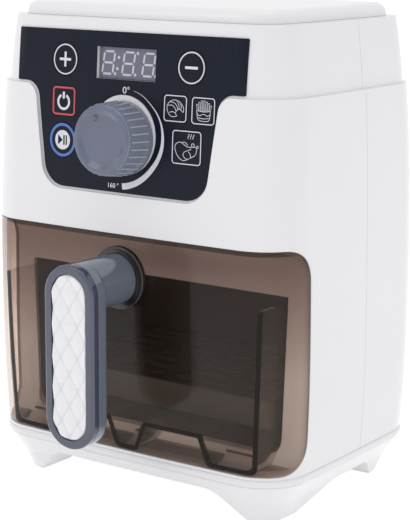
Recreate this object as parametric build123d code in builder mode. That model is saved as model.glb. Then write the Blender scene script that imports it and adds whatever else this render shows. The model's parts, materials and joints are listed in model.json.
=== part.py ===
from build123d import *
from collections import namedtuple
from math import atan, cos, degrees, radians, sin
import os

# Toy air fryer: a white casing on four feet, a dark control panel with a knob and
# flush keys, and a smoked drawer with a handle. Millimetres, +Z up, the front
# faces -Y. The sizes below count from the surface it stands on, under the casing's
# middle. Each finished piece is moved back by origin_shift, so that the origin ends
# up under the middle of the whole toy, handle included.

os.makedirs("parts", exist_ok=True)

# Casing: widths across X and depths across Y at the heights that shape it.
body_width = 149.2
body_depth = 115.0
origin_shift = 16.3
seam_height = 20.0
belly_height = 64.0
chest_height = 110.0
upper_height = 165.0
rim_height = 192.4
seam_draw_in = 1.4
seam_draw_back = 2.0
belly_draw_back = 0.5
chest_draw_in = 0.6
upper_draw_in = 2.8
upper_draw_back = 2.0
rim_draw_in = 5.8
rim_draw_back = 4.0
corner_radius = 20.0
side_bow = 0.8
front_bow = 1.3
wall = 3.4
shell_gap = 0.08
rear_seam = 6.0

# Control panel film, and the shoulder that steps inwards above and round it.
shoulder_step = 1.5
panel_margin = 0.9
film = 0.5
film_gap = 0.03
panel_top = 187.6
panel_step_height = 166.6
panel_bottom = 125.7
panel_top_half = 55.15
panel_neck_half = 44.1
panel_bottom_half = 38.6
panel_neck_round = 7.0
panel_bottom_round = 10.0
panel_top_round = 0.6
panel_lean = 3.0
panel_reach = 12.0

# Rim and lid.
rim_flange = 2.5
rim_ledge = 6.5
lid_reveal = 4.0
lid_land = 1.5
lid_crest = 5.2
lid_round = 4.4
lid_lift = 0.05
lid_wall = 2.0
lid_plug = 5.0
lid_gap = 0.3

# Base and feet.
base_proud = 0.6
base_bead = 3.0
bead_round = 1.0
base_waist_height = 8.0
base_waist_inset = 6.0
foot_inset = 9.5
base_wall = 2.2
base_floor_height = 11.8
base_floor = 2.0
front_arch_top = 39.0
front_arch_foot = 52.5
side_arch_front_foot = -27.0
side_arch_front_top = -4.0
side_arch_rear_top = 22.0
side_arch_rear_foot = 32.0
side_arch_height = 9.0
arch_round = 8.0
arch_foot_round = 1.5

# Knob, its raised boss and the rotary switch behind it.
knob_x = 0.4
knob_height = 147.1
knob_front_radius = 13.4
knob_base_radius = 14.5
knob_top = 14.8
knob_wall = 1.6
knob_face = 2.4
knob_rim = 2.0
knob_dish = 1.1
knob_dish_slope = 2.0
knob_edge_round = 0.9
knob_boss_height = 148.2
knob_boss_radius = 15.45
knob_boss_proud = 0.7
knob_lift = 0.35
knob_hub_radius = 5.0
rib_count = 30
rib_width = 0.65
rib_proud = 0.35
rib_start = 2.2
rib_end = 1.5
pointer_radius = 1.25
pointer_tip_radius = 0.75
pointer_proud = 0.9
pointer_reach = 8.8
pointer_angle = 24.5
shaft_radius = 3.0
shaft_chamfer = 0.4
shaft_clearance = 0.05
switch_width = 14.0
switch_height = 6.5
bushing_radius = 4.2
bushing_gap = 0.3

# Display and keys.
display_width = 28.9
display_height = 12.3
display_level = 175.55
display_recess = 1.9
display_gap = 0.2
key_gap = 0.2
key_flange = 0.6
key_flange_thickness = 0.8
key_flange_lift = 0.3
key_travel = 0.6
key_stem_radius = 1.5
key_stop_gap = 0.1
ring_key_width = 13.2
play_key_width = 13.8
key_corner = 1.5

# Control board behind the panel: its depth is counted from the film's face.
board_depth = 10.5
board_thickness = 1.6
board_half_width = 44.0
board_low = 131.0
board_high = 184.5
board_hole_low_x = 39.0
board_hole_low = 134.5
board_hole_high_x = 20.5
board_hole_high = 181.0
board_boss_root = 1.9
tact_width = 6.0
tact_height = 3.5
tact_plunger = 1.5
tact_plunger_radius = 1.7

# Drawer window, seen from the side, and the smoked front that fills it.
window_low = 21.2
window_high = 109.6
window_back = -35.5
window_round = 12.5
pocket_wall = 1.6
drawer_clearance = 0.35
drawer_front_wall = 2.0

# Drawer tray, its bay and the crisper plate.
running_gap = 0.3
bay_low = 26.0
bay_corner = 5.0
hole_gap = 0.5
tray_top = 86.6
tray_top_half = 63.3
tray_bottom_half = 61.0
tray_wall = 1.7
tray_back = 43.0
tray_corner = 5.0
tray_foot_round = 3.0
ridge_round = 1.0
ridge_height = 10.9
ridge_inner = 7.0
ridge_outer = 38.1
ridge_slope = 4.0
bay_wall = 1.6
bay_side_gap = 1.3
bay_top_gap = 2.6
bay_back_gap = 2.4
plate_top = 46.0
plate_thickness = 2.0
plate_gap = 1.8
plate_front = -34.0
plate_skirt = 1.6
slot_length = 20.0
slot_width = 3.2
slot_columns = 4
slot_rows = 7

# Handle.
neck_height = 92.6
neck_radius = 10.0
collar_radius = 12.5
collar_depth = 2.2
collar_inner_radius = 11.3
collar_inner_depth = 1.2
collar_gap = 0.1
grip_width = 23.8
grip_length = 72.2
grip_face = -89.7
grip_frame_depth = 3.7
grip_back_depth = 6.3
grip_front_round = 1.2
grip_back_round = 2.6
grip_wall = 1.9
grip_gap = 0.1
insert_width = 16.4
insert_length = 64.8
insert_gap = 0.2
insert_pocket = 1.6
insert_base = 1.2
diamond_width = 8.2
diamond_height = 12.5
diamond_proud = 0.9
diamond_groove = 0.5
diamond_taper = 40.0
neck_pin_radius = 1.4
neck_pin_length = 3.0
neck_pin_spacing = 12.0

# Battery box at the back, its door and the cells.
cell_radius = 7.15
cell_length = 50.5
cell_nub_radius = 2.75
cell_nub = 1.0
cell_count = 3
cell_pitch = 15.2
cell_level = 126.0
cell_depth = 45.2
cell_end_room = 3.8
cell_side_room = 0.6
box_wall = 1.5
box_gap = 0.05
door_thickness = 2.0
door_gap = 0.25
door_ledge = 1.6
door_margin = 2.0
door_screw_room = 9.0
tab_width = 8.0
tab_drop = 2.2
tab_reach = 12.0
contact_thickness = 0.4
contact_width = 9.0

# Speaker in the base.
speaker_radius = 14.0
speaker_height = 4.5
magnet_radius = 7.0
magnet_height = 2.0
speaker_slot_width = 1.6
speaker_slot_pitch = 3.6
speaker_y = 4.0

# Screws and their bosses.
screw_radius = 1.2
screw_head_radius = 2.6
screw_head_height = 1.8
screw_head_taper = 12.0
screw_head_gap = 0.2
screw_slot_width = 0.65
screw_gap = 0.05
boss_radius = 3.2
case_boss_radius = 4.6
case_screw_x = 50.0
case_screw_low = 101.0
case_screw_high = 178.0
case_screw_seat = 14.0
case_screw_length = 24.0
base_screw_x = 44.0
base_screw_front = -22.0
base_screw_rear = 30.0
base_screw_seat = 1.5
base_screw_length = 6.0
short_screw_length = 6.0
handle_screw_length = 16.0
door_screw_length = 6.0
door_screw_rise = 0.5

# Values worked out from the ones above.
half_width = body_width / 2
half_depth = body_depth / 2
reach = body_width
film_inset = shoulder_step - film
shoulder_height = panel_step_height - panel_margin

Level = namedtuple("Level", "height half_width half_depth")
casing_levels = [
    Level(seam_height, half_width - seam_draw_in, half_depth - seam_draw_back),
    Level(belly_height, half_width, half_depth - belly_draw_back),
    Level(chest_height, half_width - chest_draw_in, half_depth),
    Level(upper_height, half_width - upper_draw_in, half_depth - upper_draw_back),
    Level(rim_height, half_width - rim_draw_in, half_depth - rim_draw_back),
]
seam_level, rim_level = casing_levels[0], casing_levels[-1]


def half_depth_at(height):
    """Half depth of the casing at a height, between its named levels."""
    for low, high in zip(casing_levels, casing_levels[1:]):
        if height <= high.height:
            share = (height - low.height) / (high.height - low.height)
            return low.half_depth + share * (high.half_depth - low.half_depth)
    return rim_level.half_depth


def outline(level, inset, height=None):
    """Rounded section of the casing, its sides bowed out a little, drawn in by inset."""
    width = level.half_width - inset
    depth = level.half_depth - inset
    side = width - side_bow
    front = depth - front_bow
    corners = [(side, -front), (side, front), (-side, front), (-side, -front)]
    middles = [(width, 0), (0, depth), (-width, 0), (0, -depth)]
    with BuildSketch(Plane.XY.offset(level.height if height is None else height)) as section:
        with BuildLine():
            for start, middle, end in zip(corners, middles, corners[1:] + corners[:1]):
                ThreePointArc(start, middle, end)
        make_face()
        fillet(section.vertices(), corner_radius - inset)
    return section.sketch


def casing_form(inset):
    """The casing's outer form, drawn in by inset all round, from base seam to rim."""
    sections = [outline(level, inset) for level in casing_levels]
    with BuildPart() as form:
        loft(sections=sections)
    return form.part


def block(low, high):
    """A plain block between two corners, used to trim other forms."""
    size = [top - bottom for bottom, top in zip(low, high)]
    middle = tuple((top + bottom) / 2 for bottom, top in zip(low, high))
    with BuildPart(Plane(middle)) as trim:
        Box(*size)
    return trim.part


def layer(outer_inset, inner_inset, low, high):
    """The stretch of casing wall between two insets that lies inside a block."""
    with BuildPart() as skin:
        add(block(low, high))
        add(casing_form(outer_inset), mode=Mode.INTERSECT)
        add(casing_form(inner_inset), mode=Mode.SUBTRACT)
    return skin.part


def inside_form(inset, low, high):
    """The stretch of a block that lies inside the casing's form, drawn in by inset."""
    with BuildPart() as piece:
        add(block(low, high))
        add(casing_form(inset), mode=Mode.INTERSECT)
    return piece.part


def outside_form(inset, low, high):
    """The stretch of a block that lies outside the casing's form, drawn in by inset."""
    with BuildPart() as piece:
        add(block(low, high))
        add(casing_form(inset), mode=Mode.SUBTRACT)
    return piece.part


def screw(place, length, head_radius=screw_head_radius):
    """A pan-head cross-recess screw: its head sits on the plane, its shank points back."""
    with BuildPart(place) as part:
        Cylinder(screw_radius, length, align=(Align.CENTER, Align.CENTER, Align.MAX))
        with BuildSketch(place):
            Circle(head_radius)
        extrude(amount=screw_head_height, taper=screw_head_taper)
        with Locations((0, 0, screw_head_height)):
            for turn in (0, 90):
                Box(
                    head_radius, screw_slot_width, screw_head_height,
                    rotation=(0, 0, turn), mode=Mode.SUBTRACT,
                )
    return part.part


def finish(part, name):
    """Move a finished piece to the toy's origin, label it and write it to its own file."""
    piece = part.moved(Location((0, origin_shift, 0)))
    piece.label = name
    export_step(piece, f"parts/{name}.step")


# The panel's plane: it leans back with the casing's front and touches the film's face.
panel = Plane(
    origin=(0, -(half_depth_at(knob_height) - film_inset), knob_height),
    x_dir=(1, 0, 0),
    z_dir=(0, -cos(radians(panel_lean)), sin(radians(panel_lean))),
)


def on_panel(x, height, depth=0.0):
    """A plane parallel to the panel at a place on it, depth millimetres behind its face."""
    up = (height - knob_height) / cos(radians(panel_lean))
    origin = panel.from_local_coords((x, up, -depth))
    return Plane(origin=origin, x_dir=panel.x_dir, z_dir=panel.z_dir)


def panel_outline(grow=0.0):
    """Outline of the film: wide at the top, necking in round the knob."""
    top, step, bottom = (
        (height - knob_height) / cos(radians(panel_lean))
        for height in (panel_top, panel_step_height, panel_bottom)
    )
    right = [
        (panel_bottom_half, bottom),
        (panel_neck_half, step),
        (panel_top_half, step),
        (panel_top_half, top),
    ]
    left = [(-x, up) for x, up in reversed(right)]
    rounds = [panel_bottom_round, panel_neck_round, panel_top_round, panel_top_round]
    with BuildSketch(panel) as area:
        with BuildLine():
            FilletPolyline(*right, *left, radius=rounds + rounds[::-1], close=True)
        make_face()
        if grow:
            offset(amount=grow)
    return area.sketch


Key = namedtuple("Key", "name x height width tall round")
keys = [
    Key("plus_key", -30.2, 175.8, ring_key_width, ring_key_width, True),
    Key("minus_key", 30.9, 175.7, ring_key_width, ring_key_width, True),
    Key("power_key", -30.35, 159.4, 12.0, 11.7, False),
    Key("play_key", -30.6, 144.0, play_key_width, play_key_width, True),
    Key("bake_key", 23.9, 160.15, 11.7, 10.3, False),
    Key("fries_key", 37.0, 160.0, 10.9, 10.3, False),
    Key("roast_key", 30.0, 145.8, 13.8, 13.2, False),
]


def key_outline(key, grow=0.0):
    """Outline of a key on the panel."""
    with BuildSketch(on_panel(key.x, key.height)) as area:
        if key.round:
            Circle(key.width / 2 + grow)
        else:
            RectangleRounded(key.width + 2 * grow, key.tall + 2 * grow, key_corner + grow)
    return area.sketch


def display_outline(grow=0.0):
    """Outline of the display window on the panel."""
    with BuildSketch(on_panel(0, display_level)) as area:
        Rectangle(display_width + 2 * grow, display_height + 2 * grow)
    return area.sketch


def window_profile(grow=0.0):
    """Side view of the drawer window, which runs out through the front."""
    front = -(half_depth + panel_reach)
    with BuildSketch(Plane.YZ) as profile:
        with BuildLine():
            FilletPolyline(
                (front, window_low - grow),
                (window_back + grow, window_low - grow),
                (window_back + grow, window_high + grow),
                (front, window_high + grow),
                radius=[0, window_round + grow, window_round + grow, 0],
                close=True,
            )
        make_face()
    return profile.sketch


def stadium(length, width, depth, grow=0.0):
    """Upright round-ended outline of the grip, on the plane at this depth in Y."""
    place = Plane(origin=(0, depth, grip_middle), x_dir=(1, 0, 0), z_dir=(0, -1, 0))
    with BuildSketch(place) as area:
        SlotOverall(length + 2 * grow, width + 2 * grow, rotation=90)
    return area.sketch


# Forms that several pieces share.
step_form = casing_form(shoulder_step)
inner_form = casing_form(wall)
film_form = casing_form(film_inset)
bay_half = tray_top_half + bay_side_gap
bay_top = tray_top + bay_top_gap
bay_back = tray_back + bay_back_gap
tray_low = window_low + running_gap
window_corner = (window_back - window_round, window_low + window_round)
knob_seat = on_panel(knob_x, knob_height)
boss_seat = on_panel(0, knob_boss_height)

tray_taper = (tray_top_half - tray_bottom_half) / (tray_top - tray_low)
tray_lift = bay_low + running_gap - tray_low

with BuildPart() as bay_hole:
    low_half, top_half = (
        tray_bottom_half + tray_taper * (height - tray_low) + hole_gap
        for height in (bay_low, bay_top)
    )
    corners = [
        (low_half, bay_low), (top_half, bay_top), (-top_half, bay_top), (-low_half, bay_low),
    ]
    with BuildSketch(Plane.XZ.offset(-window_back - 2 * pocket_wall)) as hole:
        with BuildLine():
            Polyline(*corners, close=True)
        make_face()
        fillet(hole.vertices().group_by(Axis.Y)[0], bay_corner)
    extrude(amount=window_round + 2 * pocket_wall)

with BuildPart() as relief:
    extrude(panel_outline(panel_margin), amount=panel_reach, both=True)
    add(block((-reach, -reach, shoulder_height), (reach, reach, rim_height + wall)))
    add(step_form, mode=Mode.SUBTRACT)

with BuildPart() as casing:
    add(casing_form(0))
    add(relief.part, mode=Mode.SUBTRACT)

with BuildPart() as hollow:
    add(inner_form)
    split(bisect_by=Plane.XY.offset(rim_height - rim_flange), keep=Keep.BOTTOM)
    extrude(
        outline(rim_level, shoulder_step + rim_ledge, rim_height - rim_flange),
        amount=2 * rim_flange,
    )

# Front shell: the casing's front half, with the drawer pocket and its bulkhead.
with BuildPart() as pocket:
    extrude(window_profile(pocket_wall), amount=reach, both=True)
    add(block(
        (-reach, window_back - window_round, window_low - pocket_wall),
        (reach, window_back + pocket_wall, window_low + window_round),
    ))
    add(casing_form(wall / 2), mode=Mode.INTERSECT)

case_screws_at = [
    (side * case_screw_x, height)
    for side in (-1, 1)
    for height in (case_screw_low, case_screw_high)
]
board_screws_at = [(side * board_hole_low_x, board_hole_low) for side in (-1, 1)]
board_screws_at += [(side * board_hole_high_x, board_hole_high) for side in (-1, 1)]
case_edge = Plane(origin=(0, rear_seam, 0), x_dir=(1, 0, 0), z_dir=(0, -1, 0))

with BuildPart() as front_bosses:
    for x, height in case_screws_at:
        with BuildSketch(case_edge):
            with Locations((x, height)):
                Circle(boss_radius)
        run = rear_seam - window_back - pocket_wall / 2
        extrude(amount=run if height < window_high else rear_seam + half_depth_at(height))
    for x, height in board_screws_at:
        with BuildSketch(on_panel(x, height, board_depth)):
            Circle(boss_radius)
        extrude(amount=board_depth - board_boss_root)
    add(casing_form(shoulder_step + film), mode=Mode.INTERSECT)

with BuildPart() as front_shell:
    add(casing.part)
    add(hollow.part, mode=Mode.SUBTRACT)
    add(pocket.part)
    extrude(window_profile(), amount=reach, both=True, mode=Mode.SUBTRACT)
    add(bay_hole.part, mode=Mode.SUBTRACT)
    add(front_bosses.part)
    with BuildSketch(boss_seat.offset(-(film_inset + film))):
        Circle(knob_boss_radius)
    extrude(amount=film_inset + film + knob_boss_proud)
    with BuildSketch(knob_seat.offset(-panel_reach)):
        Circle(bushing_radius + bushing_gap)
    extrude(amount=2 * panel_reach, mode=Mode.SUBTRACT)
    for key in keys:
        extrude(key_outline(key, key_gap), amount=panel_reach / 2, both=True, mode=Mode.SUBTRACT)
    extrude(display_outline(), amount=panel_reach / 2, both=True, mode=Mode.SUBTRACT)
    split(bisect_by=Plane.XZ.offset(-(rear_seam - shell_gap / 2)), keep=Keep.TOP)
    for x, height in case_screws_at:
        with BuildSketch(case_edge):
            with Locations((x, height)):
                Circle(screw_radius + screw_gap)
        extrude(amount=case_screw_length - case_screw_seat + 1, mode=Mode.SUBTRACT)
    for x, height in board_screws_at:
        with BuildSketch(on_panel(x, height, board_depth)):
            Circle(screw_radius + screw_gap)
        extrude(amount=short_screw_length, mode=Mode.SUBTRACT)

# Battery door: a patch of the rear wall, with two hooks along its lower edge.
cell_x = [(i - (cell_count - 1) / 2) * cell_pitch for i in range(cell_count)]
box_half = cell_x[-1] + cell_radius + cell_side_room
box_low = cell_level - cell_length / 2 - cell_end_room
box_high = cell_level + cell_length / 2 + cell_end_room
box_front = cell_depth - cell_radius - cell_side_room
door_half = box_half + door_margin
door_low = box_low - door_margin
door_high = box_high + door_screw_room
door_screw_level = box_high + (door_high - box_high) / 2 + box_wall / 2
tab_x = [-tab_reach, tab_reach]
tab_inset = door_thickness + door_gap
behind = 2 * door_ledge
rear_reach = half_depth + wall
door_screw_seat = half_depth_at(door_screw_level) - door_thickness / 2
door_screw_place = Plane(
    origin=(0, door_screw_seat, door_screw_level), x_dir=(1, 0, 0), z_dir=(0, 1, 0)
)

with BuildPart() as door_hole:
    add(outside_form(
        tab_inset, (-door_half, 0, door_low), (door_half, rear_reach, door_high)
    ))
    add(block(
        (-door_half + door_ledge, 0, door_low + door_ledge),
        (door_half - door_ledge, rear_reach, box_high),
    ))
    for x in tab_x:
        add(inside_form(
            tab_inset - door_gap / 2,
            (x - tab_width / 2 - door_gap, 0, door_low - tab_drop - door_gap),
            (x + tab_width / 2 + door_gap, rear_reach, door_low + behind),
        ))

with BuildPart() as battery_door:
    add(layer(
        0,
        door_thickness,
        (-door_half + door_gap, 0, door_low + door_gap),
        (door_half - door_gap, rear_reach, door_high - door_gap),
    ))
    for x in tab_x:
        add(layer(
            door_thickness / 2,
            wall - door_gap / 2,
            (x - tab_width / 2, 0, door_low + door_ledge + door_gap),
            (x + tab_width / 2, rear_reach, door_low + behind),
        ))
        add(layer(
            tab_inset,
            wall - door_gap / 2,
            (x - tab_width / 2, 0, door_low - tab_drop),
            (x + tab_width / 2, rear_reach, door_low + behind),
        ))
    with BuildSketch(door_screw_place.offset(-wall)):
        Circle(screw_radius + 2 * screw_gap)
    extrude(amount=2 * wall, mode=Mode.SUBTRACT)
    with BuildSketch(door_screw_place):
        Circle(screw_head_radius + 2 * screw_gap)
    extrude(amount=wall, mode=Mode.SUBTRACT)
finish(battery_door.part, "battery_door")

battery_door_screw = screw(door_screw_place, door_screw_length)
finish(battery_door_screw, "battery_door_screw")

# Rear shell: the casing's back half, with the door's opening and the screw wells.
with BuildPart() as rear_bosses:
    for x, height in case_screws_at:
        with BuildSketch(case_edge):
            with Locations((x, height)):
                Circle(case_boss_radius)
        extrude(amount=-half_depth)
    with BuildSketch(door_screw_place.offset(-(tab_inset + wall) / 2 + door_thickness / 2)):
        Circle(boss_radius)
    extrude(amount=-door_screw_length)
    add(casing_form(shoulder_step + film), mode=Mode.INTERSECT)

with BuildPart() as rear_shell:
    add(casing.part)
    add(hollow.part, mode=Mode.SUBTRACT)
    add(door_hole.part, mode=Mode.SUBTRACT)
    add(rear_bosses.part)
    split(bisect_by=Plane.XZ.offset(-(rear_seam + shell_gap / 2)), keep=Keep.BOTTOM)
    for x, height in case_screws_at:
        with BuildSketch(case_edge):
            with Locations((x, height)):
                Circle(screw_radius + 2 * screw_gap)
        extrude(amount=-case_screw_seat, mode=Mode.SUBTRACT)
        with BuildSketch(case_edge.offset(-case_screw_seat)):
            with Locations((x, height)):
                Circle(case_boss_radius - pocket_wall)
        extrude(amount=-rear_reach, mode=Mode.SUBTRACT)
    with BuildSketch(door_screw_place.offset(screw_head_height)):
        hole_width = 2 * (screw_radius + screw_gap)
        with Locations((0, -door_screw_rise / 2)):
            SlotOverall(hole_width + door_screw_rise, hole_width, rotation=90)
    extrude(amount=-(door_screw_length + 2 * screw_head_height), mode=Mode.SUBTRACT)
finish(front_shell.part, "front_shell")
finish(rear_shell.part, "rear_shell")

with BuildPart() as case_screws:
    for x, height in case_screws_at:
        place = Plane(origin=(x, rear_seam + case_screw_seat, height), z_dir=(0, 1, 0))
        add(screw(place, case_screw_length))
finish(case_screws.part, "case_screws")

# Lid: a shallow plate that rests on the rim and plugs into it.
with BuildPart() as top_lid:
    extrude(outline(rim_level, shoulder_step + lid_reveal, rim_height + lid_lift), amount=lid_crest)
    fillet(top_lid.faces().sort_by(Axis.Z)[-1].edges(), lid_round)
    extrude(outline(rim_level, shoulder_step + lid_reveal + lid_land, rim_height), amount=lid_land)
    plug_inset = shoulder_step + rim_ledge + lid_gap
    extrude(outline(rim_level, plug_inset, rim_height), amount=-lid_plug)
    extrude(
        outline(rim_level, plug_inset + lid_wall, rim_height - lid_plug),
        amount=lid_plug + lid_lift + lid_crest - lid_wall,
        mode=Mode.SUBTRACT,
    )
finish(top_lid.part, "top_lid")

# Base: a tray on four feet, its floor raised between them.


def arch(plane, spans, height, drop, grow):
    """The gap between two feet, seen along one axis and grown on every side."""
    first_foot, first_top, last_top, last_foot = spans
    with BuildSketch(plane) as profile:
        with BuildLine():
            FilletPolyline(
                (first_foot - grow, -drop),
                (first_foot - grow, grow / 2),
                (first_top - grow, height + grow),
                (last_top + grow, height + grow),
                (last_foot + grow, grow / 2),
                (last_foot + grow, -drop),
                radius=[0, arch_foot_round, arch_round, arch_round, arch_foot_round, 0],
                close=True,
            )
        make_face()
    return profile.sketch


def arches(grow):
    """Both gaps between the feet, front to back and side to side, as one form."""
    across = (-front_arch_foot, -front_arch_top, front_arch_top, front_arch_foot)
    along = (side_arch_front_foot, side_arch_front_top, side_arch_rear_top, side_arch_rear_foot)
    with BuildPart() as gaps:
        profile = arch(Plane.XZ.offset(-reach), across, base_floor_height, wall, grow)
        extrude(profile, amount=2 * reach)
        profile = arch(Plane.YZ.offset(-reach), along, side_arch_height, 2 * wall, grow)
        extrude(profile, amount=2 * reach)
    return gaps.part


def skirt(inset, top_inset, low):
    """The base's sloping outer form, drawn in by inset, down to a height."""
    slope = (foot_inset - base_waist_inset) / base_waist_height
    bottom_inset = foot_inset - slope * low
    sections = [
        outline(seam_level, bottom_inset + inset, low),
        outline(seam_level, base_waist_inset + inset, base_waist_height),
        outline(seam_level, top_inset + inset, seam_height - base_bead),
    ]
    with BuildPart() as form:
        loft(sections=sections, ruled=True)
    return form.part


base_hollow_skirt = skirt(base_wall, 0, base_wall)
base_screws_at = [
    (side * base_screw_x, y) for side in (-1, 1) for y in (base_screw_front, base_screw_rear)
]
base_screw_height = base_floor_height + base_floor + base_screw_seat
with BuildPart() as base_cavity:
    add(base_hollow_skirt)
    extrude(outline(seam_level, base_wall, seam_height - base_bead - film), amount=base_bead + 1)
    add(arches(base_floor), mode=Mode.SUBTRACT)

with BuildPart() as base_bosses:
    with BuildSketch():
        with Locations(*base_screws_at):
            Circle(case_boss_radius)
    extrude(amount=base_screw_height + base_wall)
    add(arches(0), mode=Mode.SUBTRACT)

with BuildPart() as base:
    extrude(outline(seam_level, -base_proud, seam_height - base_bead), amount=base_bead)
    fillet(base.edges().filter_by(Plane.XY), bead_round)
    add(skirt(0, 0, 0))
    add(arches(0), mode=Mode.SUBTRACT)
    add(base_cavity.part, mode=Mode.SUBTRACT)
    add(base_bosses.part)
    with BuildSketch():
        with Locations(*base_screws_at):
            Circle(screw_head_radius + screw_head_gap)
    extrude(amount=base_screw_height, mode=Mode.SUBTRACT)
    with BuildSketch(Plane.XY.offset(base_floor_height)):
        with Locations(*base_screws_at):
            Circle(screw_radius + 2 * screw_gap)
    extrude(amount=seam_height, mode=Mode.SUBTRACT)
    slot_count = int((speaker_radius - speaker_slot_pitch) / speaker_slot_pitch)
    with BuildSketch(Plane.XY.offset(base_floor_height - 1)):
        for i in range(-slot_count, slot_count + 1):
            chord = (speaker_radius ** 2 - (i * speaker_slot_pitch) ** 2) ** 0.5
            with Locations((i * speaker_slot_pitch, speaker_y)):
                SlotOverall(2 * chord - 2 * speaker_slot_pitch, speaker_slot_width, rotation=90)
    extrude(amount=base_floor + 2, mode=Mode.SUBTRACT)
finish(base.part, "base")

with BuildPart() as base_screws:
    for x, y in base_screws_at:
        add(screw(Plane(origin=(x, y, base_screw_height), z_dir=(0, 0, -1)), base_screw_length))
finish(base_screws.part, "base_screws")

speaker_low = base_floor_height + base_floor
with BuildPart() as speaker:
    with BuildSketch(Plane.XY.offset(speaker_low)):
        with Locations((0, speaker_y)):
            Circle(speaker_radius)
    extrude(amount=speaker_height)
    with BuildSketch(Plane.XY.offset(speaker_low + speaker_height)):
        with Locations((0, speaker_y)):
            Circle(magnet_radius)
    extrude(amount=magnet_height)
    with Locations((0, speaker_y, speaker_low)):
        Cone(speaker_radius - base_wall, magnet_radius, speaker_height / 2,
             align=(Align.CENTER, Align.CENTER, Align.MIN), mode=Mode.SUBTRACT)
finish(speaker.part, "speaker")

# Drawer bay: the box that the tray slides in, fixed behind the bulkhead.
bay_front = window_back + pocket_wall
with BuildPart() as drawer_bay:
    add(block(
        (-bay_half - bay_wall, bay_front, bay_low - bay_wall),
        (bay_half + bay_wall, bay_back + bay_wall, bay_top + bay_wall),
    ))
    fillet(drawer_bay.edges().filter_by(Axis.Z).group_by(Axis.Y)[-1], tray_corner + bay_back_gap)
    add(block((-bay_half, bay_front, bay_low), (bay_half, 0, bay_top)), mode=Mode.SUBTRACT)
    with BuildSketch(Plane.XY.offset(bay_low)) as bay_inside:
        with Locations((0, bay_back / 2)):
            Rectangle(2 * bay_half, bay_back)
        fillet(bay_inside.vertices().group_by(Axis.Y)[-1], tray_corner)
    extrude(amount=bay_top - bay_low, mode=Mode.SUBTRACT)
    with BuildSketch(Plane.XY.offset(bay_low - bay_wall)):
        with Locations(*base_screws_at):
            Circle(boss_radius)
    boss_drop = bay_low - bay_wall - base_screw_height - base_wall
    extrude(amount=-boss_drop)
    with BuildSketch(Plane.XY.offset(base_screw_height)):
        with Locations(*base_screws_at):
            Circle(screw_radius + screw_gap)
    extrude(amount=base_screw_length, mode=Mode.SUBTRACT)
finish(drawer_bay.part, "drawer_bay")

# Panel film, cut out for the knob's boss, the display and the keys.
film_back_form = casing_form(shoulder_step - film_gap)
with BuildPart() as panel_film:
    extrude(panel_outline(), amount=panel_reach, both=True)
    add(film_form, mode=Mode.INTERSECT)
    add(film_back_form, mode=Mode.SUBTRACT)
    with BuildSketch(boss_seat):
        Circle(knob_boss_radius + key_gap)
    extrude(amount=panel_reach, both=True, mode=Mode.SUBTRACT)
    extrude(display_outline(), amount=panel_reach, both=True, mode=Mode.SUBTRACT)
    for key in keys:
        extrude(key_outline(key, key_gap), amount=panel_reach, both=True, mode=Mode.SUBTRACT)
finish(panel_film.part, "panel_film")

# Keys: each cap lies flush in the film, and its stem reaches down to a switch.
tact_top = board_depth - tact_height - tact_plunger
key_back_form = casing_form(wall + key_flange_lift + key_flange_thickness)
key_flange_form = casing_form(wall + key_flange_lift)
for key in keys:
    with BuildPart() as flange:
        extrude(key_outline(key, key_flange), amount=panel_reach, both=True)
        add(key_flange_form, mode=Mode.INTERSECT)
    with BuildPart() as key_cap:
        extrude(key_outline(key), amount=panel_reach, both=True)
        add(film_form, mode=Mode.INTERSECT)
        add(flange.part)
        add(key_back_form, mode=Mode.SUBTRACT)
        with BuildSketch(on_panel(key.x, key.height, tact_top - key_travel - key_stop_gap)):
            Circle(key_stem_radius)
        extrude(amount=tact_top - key_travel - key_stop_gap - wall + film_inset)
    finish(key_cap.part, key.name)

# Display module, with its face set back in the window.
with BuildPart() as display_module:
    with BuildSketch(on_panel(0, display_level, display_recess)):
        Rectangle(display_width - 2 * display_gap, display_height - 2 * display_gap)
    extrude(amount=-(board_depth - display_recess))
finish(display_module.part, "display_module")

# Control board, its switches, its screws and the rotary switch under the knob.
with BuildPart() as control_board:
    board_middle = (board_low + board_high) / 2
    with BuildSketch(on_panel(0, board_middle, board_depth)):
        RectangleRounded(2 * board_half_width, board_high - board_low, 2)
    extrude(amount=-board_thickness)
    for x, height in board_screws_at:
        with BuildSketch(on_panel(x, height, board_depth)):
            Circle(screw_radius + screw_gap)
        extrude(amount=-board_thickness, mode=Mode.SUBTRACT)
finish(control_board.part, "control_board")

with BuildPart() as board_screws:
    for x, height in board_screws_at:
        seat = on_panel(x, height, board_depth + board_thickness)
        place = Plane(origin=seat.origin, x_dir=seat.x_dir, z_dir=-seat.z_dir)
        add(screw(place, short_screw_length))
finish(board_screws.part, "board_screws")

with BuildPart() as key_switches:
    for key in keys:
        with BuildSketch(on_panel(key.x, key.height, board_depth)):
            Rectangle(tact_width, tact_width)
        extrude(amount=tact_height)
        with BuildSketch(on_panel(key.x, key.height, board_depth)):
            Circle(tact_plunger_radius)
        extrude(amount=tact_height + tact_plunger)
finish(key_switches.part, "key_switches")

switch_top = board_depth - switch_height
shaft_root = board_depth - switch_height / 2
shaft_tip = knob_top - knob_face - knob_dish
with BuildPart() as rotary_switch:
    with BuildSketch(knob_seat.offset(-board_depth)):
        RectangleRounded(switch_width, switch_width, 1)
    extrude(amount=switch_height)
    with BuildSketch(knob_seat.offset(-switch_top)):
        Circle(bushing_radius)
    extrude(amount=switch_top + knob_boss_proud / 2)
    with BuildSketch(knob_seat.offset(-shaft_root)):
        Circle(shaft_radius + shaft_clearance)
    extrude(amount=board_depth + knob_top, mode=Mode.SUBTRACT)
finish(rotary_switch.part, "rotary_switch")

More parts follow.
